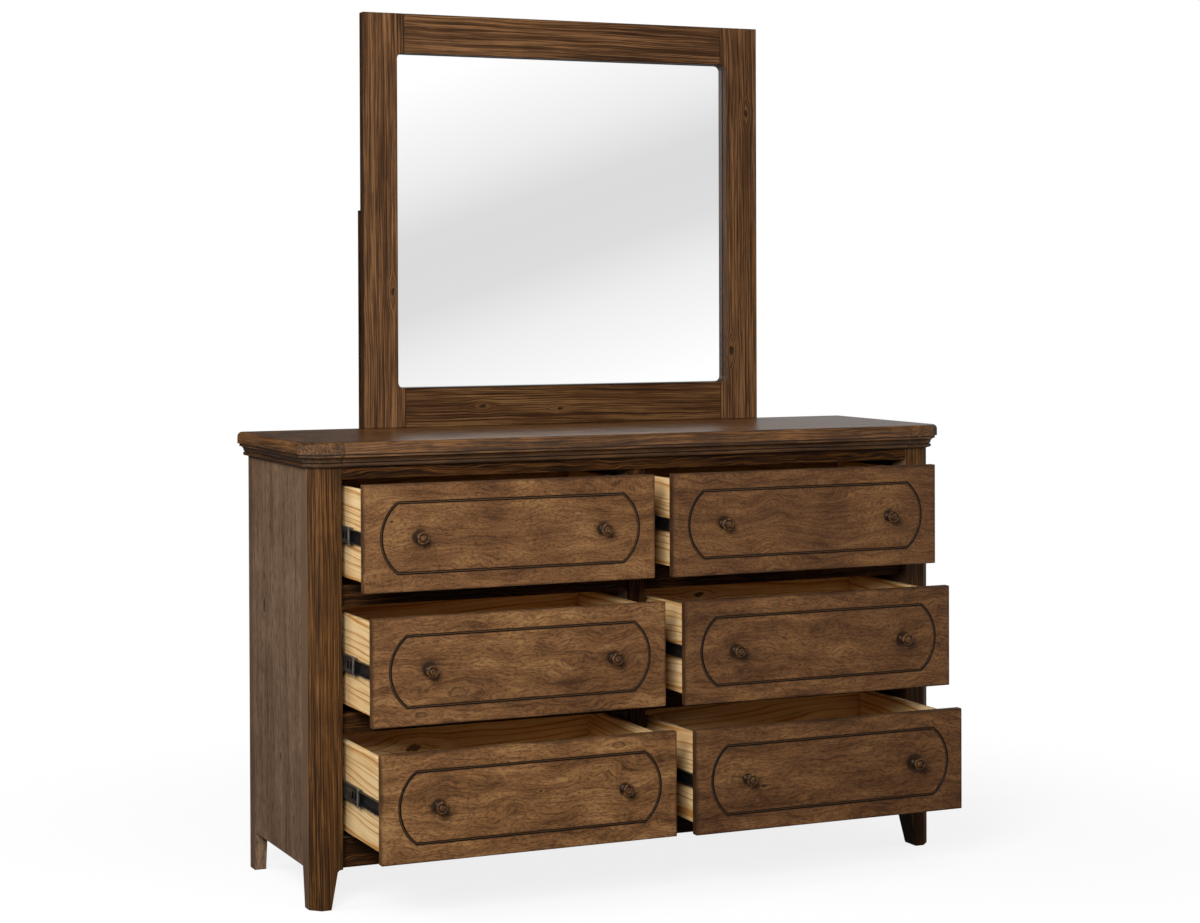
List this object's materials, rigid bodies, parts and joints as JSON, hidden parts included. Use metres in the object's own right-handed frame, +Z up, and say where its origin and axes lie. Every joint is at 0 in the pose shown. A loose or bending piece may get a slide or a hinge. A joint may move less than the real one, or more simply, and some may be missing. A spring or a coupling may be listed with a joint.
{
  "type": "six drawer dresser with a framed mirror",
  "caption": "Wooden dresser with two columns of drawers on telescopic slides, tapered feet, a moulded cornice and a framed mirror standing on its top",
  "frame": {"origin": "on the floor, under the middle of the bounding box with the drawers part open as at rest", "axes": "+Z up from the feet to the mirror's top, +X to the right seen from the front, +Y towards the back; the drawers open along -Y"},
  "size_m": [1.506, 0.725, 1.8723],
  "materials": {
    "case_wood": "brown stain, satin lacquer",
    "top_wood": "brown stain, smooth satin lacquer",
    "front_wood": "mottled brown stain, satin lacquer",
    "knob_wood": "dark brown stain, turned",
    "mirror_wood": "walnut brown stain, satin lacquer",
    "pine": "pale pine, unstained",
    "inner_board": "plain board, unfinished",
    "slide_steel": "black zinc plated sheet steel",
    "mirror_silver": "silvered glass"
  },
  "bodies": {
    "case": {"front_post_left": "case_wood", "front_post_right": "case_wood", "side_panel_left": "case_wood", "side_panel_right": "case_wood", "top_rail": "case_wood", "drawer_rail_upper": "case_wood", "drawer_rail_lower": "case_wood", "apron": "case_wood", "centre_stile": "case_wood", "top_panel": "top_wood", "top_end_left": "top_wood", "top_end_right": "top_wood", "cornice_front": "top_wood", "back_panel": "inner_board", "bottom_panel": "inner_board", "centre_partition": "inner_board", "mirror_backing": "inner_board", "mirror_stile_left": "mirror_wood", "mirror_stile_right": "mirror_wood", "mirror_rail_top": "mirror_wood", "mirror_rail_bottom": "mirror_wood", "mirror_support_left": "mirror_wood", "mirror_support_right": "mirror_wood", "mirror_glass": "mirror_silver"},
    "drawer_top_left": {"drawer_top_left_front": "front_wood", "drawer_top_left_box": "pine", "drawer_top_left_knob_left": "knob_wood", "drawer_top_left_knob_right": "knob_wood"},
    "runner_top_left": {"runner_top_left_left": "slide_steel", "runner_top_left_right": "slide_steel"},
    "drawer_top_right": {"drawer_top_right_front": "front_wood", "drawer_top_right_box": "pine", "drawer_top_right_knob_left": "knob_wood", "drawer_top_right_knob_right": "knob_wood"},
    "runner_top_right": {"runner_top_right_left": "slide_steel", "runner_top_right_right": "slide_steel"},
    "drawer_middle_left": {"drawer_middle_left_front": "front_wood", "drawer_middle_left_box": "pine", "drawer_middle_left_knob_left": "knob_wood", "drawer_middle_left_knob_right": "knob_wood"},
    "runner_middle_left": {"runner_middle_left_left": "slide_steel", "runner_middle_left_right": "slide_steel"},
    "drawer_middle_right": {"drawer_middle_right_front": "front_wood", "drawer_middle_right_box": "pine", "drawer_middle_right_knob_left": "knob_wood", "drawer_middle_right_knob_right": "knob_wood"},
    "runner_middle_right": {"runner_middle_right_left": "slide_steel", "runner_middle_right_right": "slide_steel"},
    "drawer_bottom_left": {"drawer_bottom_left_front": "front_wood", "drawer_bottom_left_box": "pine", "drawer_bottom_left_knob_left": "knob_wood", "drawer_bottom_left_knob_right": "knob_wood"},
    "runner_bottom_left": {"runner_bottom_left_left": "slide_steel", "runner_bottom_left_right": "slide_steel"},
    "drawer_bottom_right": {"drawer_bottom_right_front": "front_wood", "drawer_bottom_right_box": "pine", "drawer_bottom_right_knob_left": "knob_wood", "drawer_bottom_right_knob_right": "knob_wood"},
    "runner_bottom_right": {"runner_bottom_right_left": "slide_steel", "runner_bottom_right_right": "slide_steel"}
  },
  "joints": [
    {"name": "drawer_top_left_slide", "type": "slide", "parent": "case", "child": "drawer_top_left", "axis": [0, -1, 0], "range_m": [-0.124, 0.226]},
    {"name": "runner_top_left_slide", "type": "slide", "parent": "case", "child": "runner_top_left", "axis": [0, -1, 0], "range_m": [-0.062, 0.113]},
    {"name": "drawer_top_right_slide", "type": "slide", "parent": "case", "child": "drawer_top_right", "axis": [0, -1, 0], "range_m": [-0.132, 0.218]},
    {"name": "runner_top_right_slide", "type": "slide", "parent": "case", "child": "runner_top_right", "axis": [0, -1, 0], "range_m": [-0.066, 0.109]},
    {"name": "drawer_middle_left_slide", "type": "slide", "parent": "case", "child": "drawer_middle_left", "axis": [0, -1, 0], "range_m": [-0.174, 0.176]},
    {"name": "runner_middle_left_slide", "type": "slide", "parent": "case", "child": "runner_middle_left", "axis": [0, -1, 0], "range_m": [-0.087, 0.088]},
    {"name": "drawer_middle_right_slide", "type": "slide", "parent": "case", "child": "drawer_middle_right", "axis": [0, -1, 0], "range_m": [-0.189, 0.161]},
    {"name": "runner_middle_right_slide", "type": "slide", "parent": "case", "child": "runner_middle_right", "axis": [0, -1, 0], "range_m": [-0.0945, 0.0805]},
    {"name": "drawer_bottom_left_slide", "type": "slide", "parent": "case", "child": "drawer_bottom_left", "axis": [0, -1, 0], "range_m": [-0.225, 0.125]},
    {"name": "runner_bottom_left_slide", "type": "slide", "parent": "case", "child": "runner_bottom_left", "axis": [0, -1, 0], "range_m": [-0.1125, 0.0625]},
    {"name": "drawer_bottom_right_slide", "type": "slide", "parent": "case", "child": "drawer_bottom_right", "axis": [0, -1, 0], "range_m": [-0.238, 0.112]},
    {"name": "runner_bottom_right_slide", "type": "slide", "parent": "case", "child": "runner_bottom_right", "axis": [0, -1, 0], "range_m": [-0.119, 0.056]}
  ],
  "couplings": [
    {"joint": "runner_top_left_slide", "follows": "drawer_top_left_slide", "ratio": 0.5},
    {"joint": "runner_top_right_slide", "follows": "drawer_top_right_slide", "ratio": 0.5},
    {"joint": "runner_middle_left_slide", "follows": "drawer_middle_left_slide", "ratio": 0.5},
    {"joint": "runner_middle_right_slide", "follows": "drawer_middle_right_slide", "ratio": 0.5},
    {"joint": "runner_bottom_left_slide", "follows": "drawer_bottom_left_slide", "ratio": 0.5},
    {"joint": "runner_bottom_right_slide", "follows": "drawer_bottom_right_slide", "ratio": 0.5}
  ]
}
